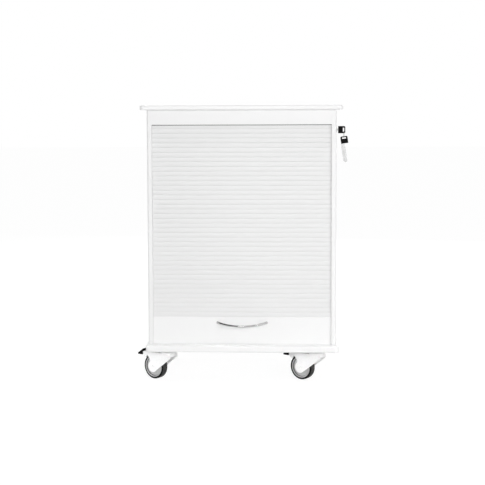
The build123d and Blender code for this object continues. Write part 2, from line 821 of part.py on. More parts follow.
def build_case():
    """Boards, joints, tracks and what is fixed to them."""
    top, top_band = banded_board(side_outer + top_side_overhang, body_top, total_height)
    base, base_band = banded_board(side_outer + base_side_overhang, castor_height, base_top)
    joint_holes = both_sides(dowels(bore_fit) + cams(bore_fit))
    top, base = drill(top, joint_holes), drill(base, joint_holes)
    screw_holes = [
        rod_z(plate_screw_radius, castor_height - 1, castor_height + plate_screw_length, cx + x, cy + y)
        for cx, cy in castor_places.values() for x, y in plate_holes()
    ]
    base = drill(base, screw_holes)
    blank = box(side_inner, side_outer, body_front, rear_edge, base_top, body_top)
    front_edges = blank.edges().filter_by(Axis.Z).group_by(Axis.Y)[0]
    blank = fillet(front_edges.sort_by(Axis.X)[-1], side_edge_radius)
    left = mirrored(drill(blank, [track_groove(), *dowels(bore_fit), *cams(bore_fit), *pin_holes()]))
    lock_hole = at_lock(rod_x(lock_radius + bore_fit, side_inner - 1, side_outer + 1, 0, 0))
    right = drill(mirrored(left), [lock_hole])
    pins = [shelf_pin(y, z - board) for z in shelf_heights.values() for y in pin_ys]
    liner_outline = route_strip(liner_offset, liner_offset + liner_thickness, header_bottom, base_top)
    front_trim = Pos(slat_y, header_bottom) * Rectangle(2 * (bend_radius + 6), 400)
    parts = {
        "top_panel": top,
        "top_edge_band": top_band,
        "base_panel": base,
        "base_edge_band": base_band,
        "side_panel_left": left,
        "side_panel_right": right,
        "back_panel": across(back_inner, back_inner + back_thickness, base_top, body_top),
        "header_panel": across(body_front, body_front + header_thickness, header_bottom, body_top),
        "inner_liner": prism_x(liner_outline - front_trim, -side_inner, side_inner),
        "shelf_pins": group(both_sides(pins)),
        "dowels": group(both_sides(dowels())),
        "cam_fittings": group(both_sides(cams())),
        "track_right": track(),
        "track_left": mirrored(track()),
        "shutter_stops": group(stops()),
        "closing_buffers": group(buffers()),
        "lock_housing": lock_housing(),
        "lock_nut": lock_nut(),
    }
    for name, top_face in shelf_heights.items():
        parts[name] = shelf(top_face)
    return parts


def build_shutter():
    """Everything that the shutter carries."""
    slats = [slat(i) for i in range(slat_count + tail_slats)]
    third = math.ceil(slat_count / 3)
    return {
        "shutter_rail": rail(),
        "slats_lower": group(slats[:third]),
        "slats_middle": group(slats[third:2 * third]),
        "slats_upper": group(slats[2 * third:]),
        "curtain_backing": backing(),
        "rail_glides": group(glides()),
        "handle": handle(),
        "handle_screws": group(handle_screws()),
    }


def build_lock():
    """Moving pieces of the lock, and the keys."""
    return {
        "lock_core": lock_core(),
        "lock_cam": lock_cam(),
        "key_blade": key_blade(),
        "key_bow": key_bow(),
        "key_ring": key_ring(),
        "spare_key_blade": hang_spare(spare_blade()),
        "spare_key_bow": hang_spare(bow()),
    }


def build_castors():
    """Four castors. The two front ones have a brake."""
    parts, plates, screws, kingpins = {}, [], [], []
    plain = {"castor_fork": fork(False), "castor_axle": axle(), "wheel_core": wheel_core(), "tyre": tyre()}
    brake = {"castor_fork": fork(True), "brake_lever": brake_lever(), "brake_pad": brake_pad()}
    for name, (x, y) in castor_places.items():
        place = Pos(x, y, 0)
        plates.append(place * castor_plate())
        screws += [place * plate_screw(sx, sy) for sx, sy in plate_holes()]
        kingpins.append(place * kingpin())
        pieces = {**plain, **brake} if name.startswith("front") else plain
        for piece, solid in pieces.items():
            parts[f"{piece}_{name}"] = place * Rot(0, 0, castor_turn) * solid
    parts["castor_plates"] = group(plates)
    parts["castor_screws"] = group(screws)
    parts["castor_kingpins"] = group(kingpins)
    return parts


def main():
    os.makedirs("parts", exist_ok=True)
    parts = {**build_case(), **build_shutter(), **build_lock(), **build_castors()}
    for name, solid in parts.items():
        export_step(solid, f"parts/{name}.step")
    print(len(parts), "nodes")
    print("travel", round(travel, 2), "slat pitch", round(slat_pitch, 3))
    print("lock axis", lock_y, lock_z)


main()
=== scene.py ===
import json
import math

import bmesh
import bpy
from mathutils import Matrix, Vector


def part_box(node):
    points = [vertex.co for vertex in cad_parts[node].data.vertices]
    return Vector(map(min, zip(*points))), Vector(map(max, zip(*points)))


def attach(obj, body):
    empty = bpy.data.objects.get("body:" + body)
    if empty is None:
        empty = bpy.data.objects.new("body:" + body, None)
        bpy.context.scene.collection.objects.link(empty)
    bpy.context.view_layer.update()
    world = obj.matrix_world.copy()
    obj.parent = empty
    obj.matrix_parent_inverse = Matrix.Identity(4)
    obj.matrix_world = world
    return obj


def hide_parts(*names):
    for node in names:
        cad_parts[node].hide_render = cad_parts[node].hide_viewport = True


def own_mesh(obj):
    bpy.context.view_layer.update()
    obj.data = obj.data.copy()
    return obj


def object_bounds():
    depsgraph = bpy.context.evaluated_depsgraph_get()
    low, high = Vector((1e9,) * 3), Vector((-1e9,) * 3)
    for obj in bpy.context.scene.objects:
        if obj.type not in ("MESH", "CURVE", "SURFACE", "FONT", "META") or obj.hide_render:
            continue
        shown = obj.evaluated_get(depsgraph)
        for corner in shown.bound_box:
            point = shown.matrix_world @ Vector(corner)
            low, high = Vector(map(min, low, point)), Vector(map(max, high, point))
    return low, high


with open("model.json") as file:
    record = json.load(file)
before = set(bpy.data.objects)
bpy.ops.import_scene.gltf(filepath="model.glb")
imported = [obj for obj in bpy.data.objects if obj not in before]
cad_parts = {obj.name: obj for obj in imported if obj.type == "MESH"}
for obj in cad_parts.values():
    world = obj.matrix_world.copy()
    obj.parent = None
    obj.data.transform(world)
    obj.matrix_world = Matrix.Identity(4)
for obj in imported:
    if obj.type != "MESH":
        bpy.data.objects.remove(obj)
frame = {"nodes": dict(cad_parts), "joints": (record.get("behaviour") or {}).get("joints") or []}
cad_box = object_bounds()
bpy.context.scene.view_settings.view_transform = "Standard"

MM = 0.001  # lengths are in metres, and a number times MM is in millimetres

# ---- camera -----------------------------------------------------------------------
LENS, SENSOR = 81.79, 36.0  # millimetres
SHIFT = -0.10  # share of the frame's side
EYE = Vector((0.1706, -4.4762, 1.0600))
PITCH, YAW, ROLL = 0.0734, -0.0392, 0.0034  # radians


def add_camera():
    """Camera at the photograph's viewing angle."""
    data = bpy.data.cameras.new("camera")
    data.lens, data.sensor_width, data.shift_y = LENS, SENSOR, SHIFT
    camera = bpy.data.objects.new("camera", data)
    bpy.context.scene.collection.objects.link(camera)
    turn = Matrix.Rotation(-YAW, 4, "Z") @ Matrix.Rotation(math.pi / 2 - PITCH, 4, "X")
    camera.matrix_world = Matrix.Translation(EYE) @ turn @ Matrix.Rotation(-ROLL, 4, "Z")
    bpy.context.scene.camera = camera


add_camera()


# ---- materials --------------------------------------------------------------------
# Light and dark are the two ends of a material's tone, in linear light, and rough holds its
# lowest and highest roughness. Noise scales are per metre, and bump depths are in metres.
class Nodes:
    """Builds one material's node tree."""

    def __init__(self, name):
        self.material = bpy.data.materials.new(name)
        self.material.use_nodes = True
        self.tree = self.material.node_tree
        self.tree.nodes.clear()
        self.output = self.add("ShaderNodeOutputMaterial")
        self.shader = self.add("ShaderNodeBsdfPrincipled")
        self.link(self.shader, "BSDF", self.output, "Surface")
        self.place = self.add("ShaderNodeTexCoord")

    def add(self, kind, **values):
        """New node, with each value set as its property or else on its input."""
        node = self.tree.nodes.new(kind)
        for key, value in values.items():
            if hasattr(node, key):
                setattr(node, key, value)
            else:
                node.inputs[key].default_value = value
        return node

    def link(self, a, out, b, into):
        """Joins the output out of node a to the input into of node b."""
        self.tree.links.new(a.outputs[out], b.inputs[into])

    def set(self, socket, value):
        """A value that is the same all over, on the shader's own socket."""
        self.shader.inputs[socket].default_value = value

    def noise(self, scale, detail=2.0, stretch=(1, 1, 1)):
        """Noise in object coordinates, drawn out along an axis whose stretch is under 1."""
        mapping = self.add("ShaderNodeMapping", Scale=stretch)
        self.link(self.place, "Object", mapping, "Vector")
        node = self.add("ShaderNodeTexNoise", Scale=scale, Detail=detail)
        self.link(mapping, "Vector", node, "Vector")
        return node

    def spread(self, noise, low=0.0, high=1.0, from_low=0.3, from_high=0.7):
        """A noise's value taken to the range low to high."""
        ranged = self.add("ShaderNodeMapRange")
        limits = {"From Min": from_low, "From Max": from_high, "To Min": low, "To Max": high}
        for socket, value in limits.items():
            ranged.inputs[socket].default_value = value
        self.link(noise, "Fac", ranged, "Value")
        return ranged

    def tint(self, factor, dark, light, out="Result"):
        """Base colour that goes from dark to light with a node's output."""
        mix = self.add("ShaderNodeMix", data_type="RGBA")
        # Its sockets for colours come after those for numbers and vectors.
        first, second, mixed_colour = mix.inputs[6], mix.inputs[7], mix.outputs[2]
        first.default_value = (*dark, 1)
        second.default_value = (*light, 1)
        self.link(factor, out, mix, "Factor")
        self.tree.links.new(mixed_colour, self.shader.inputs["Base Color"])

    def rough(self, noise, low, high):
        """Roughness that goes from low to high with a noise."""
        self.link(self.spread(noise, low, high), "Result", self.shader, "Roughness")

    def bump(self, node, depth, out="Fac"):
        """Relief of a depth in metres from a node's output."""
        bump = self.add("ShaderNodeBump", Distance=depth, Strength=1.0)
        self.link(node, out, bump, "Height")
        self.link(bump, "Normal", self.shader, "Normal")


def grey(value, warm=0.0):
    """Near-neutral colour, written as linear light."""
    return (value * (1 + warm), value, value * (1 - warm))


def laminate(name, light, dark, rough=(0.38, 0.5), grain=(1, 1, 1)):
    """Melamine board: a fine pearl in the surface and a broad, faint change of tone."""
    m = Nodes(name)
    broad = m.noise(scale=3.0, detail=3.0)
    fine = m.noise(scale=650.0, stretch=grain)
    m.tint(m.spread(broad), grey(dark), grey(light))
    m.rough(fine, *rough)
    m.bump(fine, depth=0.00012)
    m.set("Specular IOR Level", 0.4)
    return m.material


def plastic(name, light, dark, rough=(0.3, 0.45), scale=420.0, depth=0.0001, stretch=(1, 1, 1),
            warm=0.0, specular=0.5):
    """Moulded or extruded plastic with a fine skin."""
    m = Nodes(name)
    fine = m.noise(scale, 3.0, stretch)
    broad = m.noise(14.0, 3.0, stretch)
    m.tint(m.spread(broad), grey(dark, warm), grey(light, warm))
    m.rough(fine, *rough)
    m.bump(fine, depth)
    m.set("Specular IOR Level", specular)
    return m.material


def metal(name, value, rough, stretch=(1, 1, 1), scale=900.0, depth=0.00003, warm=0.0, spots=0.06):
    """Plated metal of one roughness, with faint brushing and cloudy spots."""
    m = Nodes(name)
    brushed = m.noise(scale, stretch=stretch)
    cloud = m.noise(scale=60.0, detail=3.0)
    m.tint(m.spread(cloud), grey(value * (1 - spots), warm), grey(value, warm))
    m.rough(brushed, rough * 0.8, rough * 1.25)
    m.bump(brushed, depth)
    m.set("Metallic", 1.0)
    return m.material


def rubber(name, light, dark):
    """Rubber with a grey bloom and a trace of dust."""
    m = Nodes(name)
    dust = m.noise(scale=70.0, detail=5.0)
    fine = m.noise(scale=1200.0)
    m.tint(m.spread(dust, from_low=0.4, from_high=0.8), grey(dark), grey(light, warm=0.04))
    m.rough(fine, 0.55, 0.8)
    m.bump(fine, depth=0.0001)
    m.set("Specular IOR Level", 0.15)
    return m.material


def shade_bristles():
    """Near-black brush hair standing upright in thin tufts, dark as painted shade under the header."""
    m = Nodes("bristle_painted_shade")
    tufts = m.noise(scale=900.0, detail=3.0, stretch=(1, 1, 0.03))
    m.tint(m.spread(tufts, from_low=0.35, from_high=0.65), grey(0.03), grey(0.075, warm=0.03))
    m.rough(tufts, 0.6, 0.85)
    m.bump(tufts, depth=0.0003)
    return m.material


def canvas():
    """Plain-woven cloth behind the slats: two sets of threads that cross."""
    m = Nodes("woven_canvas")
    weave = m.add("ShaderNodeMath", operation="MULTIPLY")
    for i, direction in enumerate("XZ"):
        threads = m.add("ShaderNodeTexWave", Scale=190.0, bands_direction=direction, Distortion=0.6)
        m.link(m.place, "Object", threads, "Vector")
        m.link(threads, "Fac", weave, i)
    m.tint(weave, grey(0.46, warm=0.03), grey(0.66, warm=0.03), out="Value")
    m.rough(m.noise(scale=300.0), 0.75, 0.92)
    m.bump(weave, depth=0.0003, out="Value")
    m.set("Sheen Weight", 0.25)
    return m.material


def beech():
    """Beech dowels with their grain along the piece."""
    m = Nodes("beech")
    grain = m.noise(scale=260.0, detail=4.0, stretch=(1, 1, 0.08))
    m.tint(m.spread(grain), dark=(0.36, 0.20, 0.10), light=(0.55, 0.35, 0.19))
    m.rough(grain, 0.5, 0.68)
    m.bump(grain, depth=0.0001)
    return m.material


WHITE = laminate("white_laminate", light=0.885, dark=0.872)
# A copy of the white laminate painted a little darker for the shelf, as shade inside the case.
WHITE_SHADED_INSIDE = laminate("white_laminate_painted_shade", light=0.85, dark=0.835)
LINER = laminate("white_hardboard", light=0.82, dark=0.80, rough=(0.42, 0.55), grain=(0.1, 1, 1))
BAND = plastic("white_edge_band", light=0.875, dark=0.86, rough=(0.28, 0.38), stretch=(0.15, 0.15, 1))
SLAT = plastic("white_slat", light=0.80, dark=0.785, rough=(0.33, 0.45), scale=700.0, depth=0.00008,
               stretch=(0.02, 1, 1))
TRACK = plastic("white_track", light=0.80, dark=0.77, rough=(0.35, 0.5))
LIP = plastic("white_lip", light=0.88, dark=0.86, rough=(0.4, 0.55))
GLIDE = plastic("natural_nylon", light=0.62, dark=0.56, rough=(0.32, 0.42), warm=0.03)
FORK = plastic("white_castor", light=0.95, dark=0.93, rough=(0.22, 0.36), scale=260.0, depth=0.00006)
HUB = plastic("grey_wheel", light=0.56, dark=0.50, scale=380.0)
# Dark grey painted on the wheel centre's groove faces, as painted shade in the groove.
HUB_PAINTED_SHADE = plastic("grey_wheel_painted_groove_shade", light=0.20, dark=0.16, rough=(0.4, 0.55), scale=380.0)
BLACK = plastic("black_plastic", light=0.004, dark=0.003, rough=(0.35, 0.5), scale=500.0, specular=0.06)
CHROME = metal("chrome", 0.56, rough=0.10, stretch=(0.05, 1, 1))
STEEL = metal("zinc_plate", 0.48, rough=0.34, scale=500.0, depth=0.00005, warm=0.01, spots=0.2)
NICKEL = metal("nickel", 0.55, rough=0.2, stretch=(1, 1, 0.1), warm=0.02)
BLADE = metal("key_metal", 0.53, rough=0.5, stretch=(1, 1, 0.06), scale=700.0, depth=0.00004)
RUBBER = rubber("black_rubber", light=0.014, dark=0.005)
# A lighter rubber on the tyre's tread faces than on its sides.
TREAD = rubber("tread_rubber_lighter", light=0.075, dark=0.035)
BRISTLE_SHADE = shade_bristles()
CANVAS = canvas()
BEECH = beech()

LOOKS = {
    "top_panel": WHITE, "base_panel": WHITE, "side_panel": WHITE, "header_panel": WHITE,
    "shutter_rail": WHITE, "back_panel": LINER, "inner_liner": LINER, "shelf": WHITE_SHADED_INSIDE,
    "top_edge_band": BAND, "base_edge_band": BAND, "shelf_pins": STEEL, "dowels": BEECH,
    "cam_fittings": STEEL, "track": TRACK, "shutter_stops": TRACK, "closing_buffers": GLIDE,
    "lock_housing": NICKEL, "lock_nut": NICKEL, "lock_core": NICKEL, "lock_cam": STEEL,
    "castor_plates": FORK, "castor_screws": STEEL, "castor_kingpins": STEEL,
    "castor_axle": FORK, "castor_fork": FORK, "wheel_core": HUB, "tyre": RUBBER,
    "brake_lever": FORK, "brake_pad": BLACK, "slats": SLAT, "curtain_backing": CANVAS,
    "rail_glides": GLIDE, "handle": CHROME, "handle_screws": STEEL, "key_blade": BLADE,
    "key_bow": BLACK, "key_ring": NICKEL, "spare_key_blade": BLADE, "spare_key_bow": BLACK,
}


def look_of(node):
    """The longest entry of LOOKS that the node's name starts with."""
    return LOOKS[max((start for start in LOOKS if node.startswith(start)), key=len)]


for name, obj in frame["nodes"].items():
    obj.data.materials.clear()
    obj.data.materials.append(look_of(name))

# ---- shaping ----------------------------------------------------------------------
ONE_POINT = 0.001 * MM  # points of a new piece that are nearer than this become one
MOST_OF_SIDE = 0.49  # a corner's rounding takes at most this share of each side
CHAMFER_SHARE = 0.3  # where a plate's eased rim bends, as a share of its edge


def joint(name):
    """A joint as the frame describes it."""
    return next(j for j in frame["joints"] if j["name"] == name)


def finished(name, work, body, stands_for, material, sharp=35.0):
    """Turns a bmesh into a piece that rides on a body and stands for CAD nodes."""
    bmesh.ops.remove_doubles(work, verts=work.verts, dist=ONE_POINT)
    bmesh.ops.recalc_face_normals(work, faces=work.faces)
    mesh = bpy.data.meshes.new(name)
    work.to_mesh(mesh)
    work.free()
    mesh.shade_smooth()
    mesh.set_sharp_from_angle(angle=math.radians(sharp))
    mesh.materials.append(material)
    obj = bpy.data.objects.new(name, mesh)
    bpy.context.scene.collection.objects.link(obj)
    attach(obj, body)
    if stands_for:
        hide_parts(*stands_for)
    return obj


def wall(work, a, b):
    """Faces between two closed rings of vertices."""
    for i in range(len(a)):
        j = (i + 1) % len(a)
        work.faces.new((a[i], a[j], b[j], b[i]))


def skin(work, rings, joined=False):
    """Faces between rings of points, capped at both ends or joined round to the first ring."""
    rows = [[work.verts.new(point) for point in ring] for ring in rings]
    for a, b in zip(rows, rows[1:]):
        wall(work, a, b)
    if joined:
        wall(work, rows[-1], rows[0])
    else:
        work.faces.new(rows[0][::-1])
        work.faces.new(rows[-1])


def bar(work, outline, xs):
    """Straight bar along X from a closed (y, z) outline."""
    skin(work, [[(x, y, z) for y, z in outline] for x in xs])


def full_turn(steps):
    """Angles once round, in radians."""
    return [2 * math.pi * i / steps for i in range(steps)]


def arc(cx, cy, radius, start, end, steps):
    """Points on a circle, angles in degrees."""
    turns = [math.radians(start + (end - start) * i / steps) for i in range(steps + 1)]
    return [(cx + radius * math.cos(t), cy + radius * math.sin(t)) for t in turns]


def rounded(points, radii, steps=5):
    """Closed outline with each corner rounded by its radius, as far as its sides allow."""
    out = []
    count = len(points)
    for i, (point, radius) in enumerate(zip(points, radii)):
        here = Vector(point)
        to_last, to_next = Vector(points[i - 1]) - here, Vector(points[(i + 1) % count]) - here
        half = to_last.angle(to_next) / 2
        longest = MOST_OF_SIDE * min(to_last.length, to_next.length)
        reach = min(radius / math.tan(half), longest)
        start, end = here + to_last.normalized() * reach, here + to_next.normalized() * reach
        for k in range(steps + 1):
            t = k / steps
            out.append(tuple(start * (1 - t) ** 2 + here * 2 * t * (1 - t) + end * t * t))
    return out


def turned(work, outline, place, steps=96):
    """Ring from a closed (radius, along) outline, turned about the Y axis of place."""
    rings = []
    for t in full_turn(steps):
        rings.append([place @ Vector((r * math.cos(t), w, r * math.sin(t))) for r, w in outline])
    skin(work, rings, joined=True)


def plate(work, outline, low, high, place, edge):
    """Flat plate from a closed (x, z) outline in place's frame, across Y, its rims eased by edge."""
    middle = sum((Vector(p) for p in outline), Vector((0, 0))) / len(outline)
    chamfer = CHAMFER_SHARE * edge

    def ring(y, inset):
        pulled = [Vector(p) - (Vector(p) - middle).normalized() * inset for p in outline]
        return [place @ Vector((p.x, y, p.y)) for p in pulled]

    skin(work, [
        ring(low, edge), ring(low + chamfer, chamfer), ring(low + edge, 0.0),
        ring(high - edge, 0.0), ring(high - chamfer, chamfer), ring(high, edge),
    ])


# ---- curtain ----------------------------------------------------------------------
SLATS = 41
SLAT_EDGE, SLAT_BACK_EDGE = 1.0 * MM, 0.4 * MM  # radii
SLAT_CROWN, CROWN_RADIUS = 0.3 * MM, 30 * MM
SLAT_GAP = 0.1 * MM
CURTAIN_TUCK = 3.5 * MM  # the curtain starts to bend this far above the header's lower edge
CURTAIN_NODES = ("slats_lower", "slats_middle", "slats_upper")

rail_low, rail_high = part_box("shutter_rail")
header_low, header_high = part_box("header_panel")
slat_low, slat_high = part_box("slats_middle")
CURTAIN_HEIGHT = header_low.z + CURTAIN_TUCK - rail_high.z
SLAT_PITCH = CURTAIN_HEIGHT / SLATS


def slat_section(centre):
    """Section of one slat: a crowned front with eased edges and a flat back."""
    half = (SLAT_PITCH - SLAT_GAP) / 2
    front, back = slat_low.y, slat_high.y
    points = [
        (front + SLAT_CROWN, -half), (front, 0.0), (front + SLAT_CROWN, half),
        (back, half), (back, -half),
    ]
    radii = (SLAT_EDGE, CROWN_RADIUS, SLAT_EDGE, SLAT_BACK_EDGE, SLAT_BACK_EDGE)
    return [(y, centre + z) for y, z in rounded(points, radii, steps=4)]


def add_slats():
    """All slats that show, as one piece that rides on the shutter."""
    work = bmesh.new()
    for i in range(SLATS):
        section = slat_section(rail_high.z + (i + 0.5) * SLAT_PITCH)
        bar(work, section, (slat_low.x, 0.0, slat_high.x))
    obj = finished("shutter_slats", work, "shutter", CURTAIN_NODES, SLAT, sharp=30.0)
    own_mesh(obj)


add_slats()

CANVAS_THICK = 0.8 * MM
CANVAS_OFF = 0.5 * MM  # from the slats' backs, where two slats meet
CANVAS_GLUED = 0.3 * MM  # nearer than that at a slat's middle
CANVAS_ROWS, CANVAS_COLUMNS = SLATS * 4, 8


def border(grid):
    """A grid's outermost vertices, once round."""
    right, left = [row[-1] for row in grid[1:-1]], [row[0] for row in grid[1:-1]]
    return grid[0] + right + grid[-1][::-1] + left[::-1]


def add_backing():
    """Canvas glued to the slats' backs, slightly slack between them."""
    low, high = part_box("curtain_backing")
    rows = []
    for i in range(CANVAS_ROWS + 1):
        z = rail_high.z + CURTAIN_HEIGHT * i / CANVAS_ROWS
        glued = CANVAS_GLUED * (0.5 - 0.5 * math.cos(2 * math.pi * (z - rail_high.z) / SLAT_PITCH))
        rows.append((slat_high.y + CANVAS_OFF - glued, z))
    xs = [low.x + (high.x - low.x) * k / CANVAS_COLUMNS for k in range(CANVAS_COLUMNS + 1)]
    work = bmesh.new()
    rims = []
    for behind in (0.0, CANVAS_THICK):
        grid = [[work.verts.new((x, y + behind, z)) for x in xs] for y, z in rows]
        for a, b in zip(grid, grid[1:]):
            for k in range(CANVAS_COLUMNS):
                work.faces.new((a[k], a[k + 1], b[k + 1], b[k]))
        rims.append(border(grid))
    wall(work, *rims)
    obj = finished("curtain_canvas", work, "shutter", ("curtain_backing",), CANVAS)
    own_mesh(obj)


add_backing()

# ---- handle -----------------------------------------------------------------------
HANDLE_THICK = 6 * MM
HANDLE_TALL, HANDLE_SLIM = 10 * MM, 8 * MM  # height of its section at the ends and in the middle
HANDLE_END = 2.2 * MM  # from the end of its middle line to the end of its box
HANDLE_RINGS, HANDLE_SIDES = 64, 24
SQUARENESS = 0.75  # 1 gives an ellipse, and less a squarer section


def squarer(value):
    """A sine or cosine pushed outward, keeping its sign."""
    return math.copysign(abs(value) ** SQUARENESS, value)


def add_handle():
    """Bow handle as one smooth bent bar whose ends turn in to the rail."""
    low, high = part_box("handle")
    half = (high.x - low.x) / 2 - HANDLE_END
    reach = rail_low.y - low.y - HANDLE_THICK / 2
    top = high.z - HANDLE_TALL / 2
    drop = top - (low.z + HANDLE_SLIM / 2)
    radius = (half * half + reach * reach) / (2 * reach)
    swing = math.asin(half / radius)
    rings = []
    for i in range(HANDLE_RINGS + 1):
        t = -1 + 2 * i / HANDLE_RINGS
        turn = swing * t
        x = radius * math.sin(turn)
        y = rail_low.y - (radius * math.cos(turn) - (radius - reach))
        z = top - drop * (1 - (x / half) ** 2)
        along = Vector((math.cos(turn), math.sin(turn), 2 * drop * x / half**2)).normalized()
        out = Vector((math.sin(turn), -math.cos(turn), 0))
        up = along.cross(out)
        tall = HANDLE_SLIM + (HANDLE_TALL - HANDLE_SLIM) * t**2
        ring = []
        for a in full_turn(HANDLE_SIDES):
            u = squarer(math.cos(a)) * HANDLE_THICK / 2
            v = squarer(math.sin(a)) * tall / 2
            ring.append(Vector((x, y, z)) + out * u + up * v)
        rings.append(ring)
    work = bmesh.new()
    skin(work, rings)
    finished("bow_handle", work, "shutter", ("handle",), CHROME, sharp=60.0)


add_handle()

# ---- seals, and a brush strip as painted shade ------------------------------------
LIP_FRONT, LIP_BACK = 1.0 * MM, 3.0 * MM  # behind the rail's face
LIP_TAPER = 0.4 * MM
LIP_ROOT, LIP_CLEAR = 1.5 * MM, 0.12 * MM  # up into the rail, and above the base panel
LIP_INSET = 0.5 * MM  # from the rail's ends
END_ROOT, END_REACH = 1.6 * MM, 0.48 * MM  # into the rail's end, and out of it
END_FACE, END_CHAMFER = 0.15 * MM, 0.3 * MM
END_SHORT = 3 * MM  # from the rail's foot and from its top


def add_rail_seal():
    """Soft white lip under the rail and at its ends that closes the gaps to the case."""
    work = bmesh.new()
    front, back = rail_low.y + LIP_FRONT, rail_low.y + LIP_BACK
    root, foot = rail_low.z + LIP_ROOT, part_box("base_panel")[1].z + LIP_CLEAR
    outline = [(front, root), (back, root), (back - LIP_TAPER, foot), (front, foot)]
    bar(work, outline, (rail_low.x + LIP_INSET, 0.0, rail_high.x - LIP_INSET))
    face = rail_low.y + END_FACE
    heights = (rail_low.z + END_SHORT, rail_high.z - END_SHORT)
    for side, end in ((-1, rail_low.x), (1, rail_high.x)):
        near, far = end - side * END_ROOT, end + side * END_REACH
        corners = [
            (near, face), (far - side * END_CHAMFER, face), (far, face + END_CHAMFER),
            (far, back), (near, back),
        ]
        skin(work, [[(x, y, z) for x, y in corners] for z in heights])
    finished("rail_seal", work, "shutter", (), LIP)


add_rail_seal()

# The strip's dark bristles below the header's lower edge are painted shade.
BRUSH_ROOT, BRUSH_SHOWS = 8 * MM, 2.4 * MM  # above and below the header's lower edge
BRUSH_BEHIND, BRUSH_CLEAR = 0.05 * MM, 0.15 * MM  # from the header, and from the slats
BRUSH_INSET = 1 * MM  # from the header's ends


def add_shade_brush():
    """Brush strip behind the header that keeps dust from above the curtain; it is dark, and shows below
    the header's lower edge as painted shade for the header's shadow on the curtain.
    """
    near, far = header_high.y + BRUSH_BEHIND, slat_low.y - BRUSH_CLEAR
    root, foot = header_low.z + BRUSH_ROOT, header_low.z - BRUSH_SHOWS
    work = bmesh.new()
    outline = [(near, root), (far, root), (far, foot), (near, foot)]
    bar(work, outline, (header_low.x + BRUSH_INSET, 0.0, header_high.x - BRUSH_INSET))
    finished("header_brush_shade_strip", work, "cabinet", (), BRISTLE_SHADE)


add_shade_brush()

# ---- castors ----------------------------------------------------------------------
CORNERS = ("front_left", "front_right", "rear_left", "rear_right")
TYRE_THICK = 8 * MM
WHEEL_HALF = 15 * MM  # half of the tyre's and the rim's width
TREAD_CROWN, TREAD_FLAT = 0.1 * MM, 0.4  # the crown's height, and the share of the half where it starts
SHOULDER, SHOULDER_DROP = 4 * MM, 0.4 * MM  # its radius, and how far under the tread it ends
TREAD_DEPTH, TREAD_INSET = 1.6 * MM, 3.6 * MM  # faces this near the crown and off the sides are tread
AXLE_BORE = 4.06 * MM  # radius
HUB_HALF = 17.6 * MM  # half of the hub's width
RIM = 5 * MM  # thickness of the rim under the tyre
WEB_SUNK = 6.4 * MM  # in from the rim's side
# Faces of the wheel centre's groove inside these bounds are painted darker, as the groove's shade.
GROOVE_SHADE_IN, GROOVE_SHADE_OUT = 1.6 * MM, 0.9 * MM  # to each side of the rim's inner edge
GROOVE_SHADE_SUNK = 0.3 * MM

# Points of the wheels' half sections in millimetres, as (radius, across) from a corner.
BEAD = ((0, -1.2), (0.9, -0.2), (1.9, -0.2), (2.2, -0.8), (2.7, -0.8), (3.0, 0))
HUB_INSIDE = ((0, -0.5), (0.5, 0))
HUB_OUTSIDE = ((12.2, 0), (13, -0.8))
WEB = ((13.6, 2.2), (15, 1.4), (21, 1.2), (22, 0.2), (27, 0), (28, 0.9), (29.4, 0.9), (30.4, 0))
RIM_FOOT = ((-0.9, 0), (0, 1.0))
RIM_INSIDE = ((0.4, -0.7), (1.1, 0))
RIM_OUTSIDE = ((-1.0, 0), (0, -1.0))


def placed(points, radius, across):
    """A section's points in metres, from the corner at (radius, across)."""
    return [(radius + r * MM, across + w * MM) for r, w in points]


def at_joint(corner, name):
    """Frame at one of a castor's joints: X along its trail, Y across the wheel, Z up."""
    pivot = Vector(joint(f"swivel_{corner}")["pos_m"])
    wheel = Vector(joint(f"roll_{corner}")["pos_m"])
    trail = Vector((wheel.x - pivot.x, wheel.y - pivot.y, 0.0)).normalized()
    up = Vector((0, 0, 1))
    turn = Matrix((trail, up.cross(trail), up)).transposed()
    here = Vector(joint(f"{name}_{corner}")["pos_m"])
    return Matrix.Translation(here) @ turn.to_4x4()


def both_faces(half):
    """Closed section from its (radius, across) half on the +Y side, mirrored to the -Y side."""
    return half + [(r, -w) for r, w in reversed(half)]


def wheel_radius(corner):
    """A wheel stands on the floor, so its radius is its axle's height."""
    return joint(f"roll_{corner}")["pos_m"][2]


def tread_tone_and_groove_shade(obj, corner, material, inside):
    """Second material on the faces whose (radius, across) from the wheel's axle are inside: a lighter
    tread on the tyre, and painted shade in the wheel centre's groove.
    """
    place = at_joint(corner, "roll").inverted()
    obj.data.materials.append(material)
    for face in obj.data.polygons:
        middle = place @ (obj.matrix_world @ face.center)
        if inside(math.hypot(middle.x, middle.z), abs(middle.y)):
            face.material_index = 1


def add_tyre(corner):
    """Tyre with a crowned tread, round shoulders and a bead line on each side."""
    radius = wheel_radius(corner)
    section = [
        *placed(BEAD, radius - TYRE_THICK, WHEEL_HALF),
        *arc(radius - SHOULDER - SHOULDER_DROP, WHEEL_HALF - SHOULDER, SHOULDER, 90, 8, steps=8),
        (radius - TREAD_CROWN, WHEEL_HALF * TREAD_FLAT), (radius, 0.0),
    ]

    def on_tread(r, w):
        return r > radius - TREAD_DEPTH and w < WHEEL_HALF - TREAD_INSET

    work = bmesh.new()
    turned(work, both_faces(section), at_joint(corner, "roll"))
    obj = finished(f"rubber_tyre_{corner}", work, f"wheel_{corner}", (f"tyre_{corner}",), RUBBER,
                   sharp=50.0)
    tread_tone_and_groove_shade(obj, corner, TREAD, on_tread)


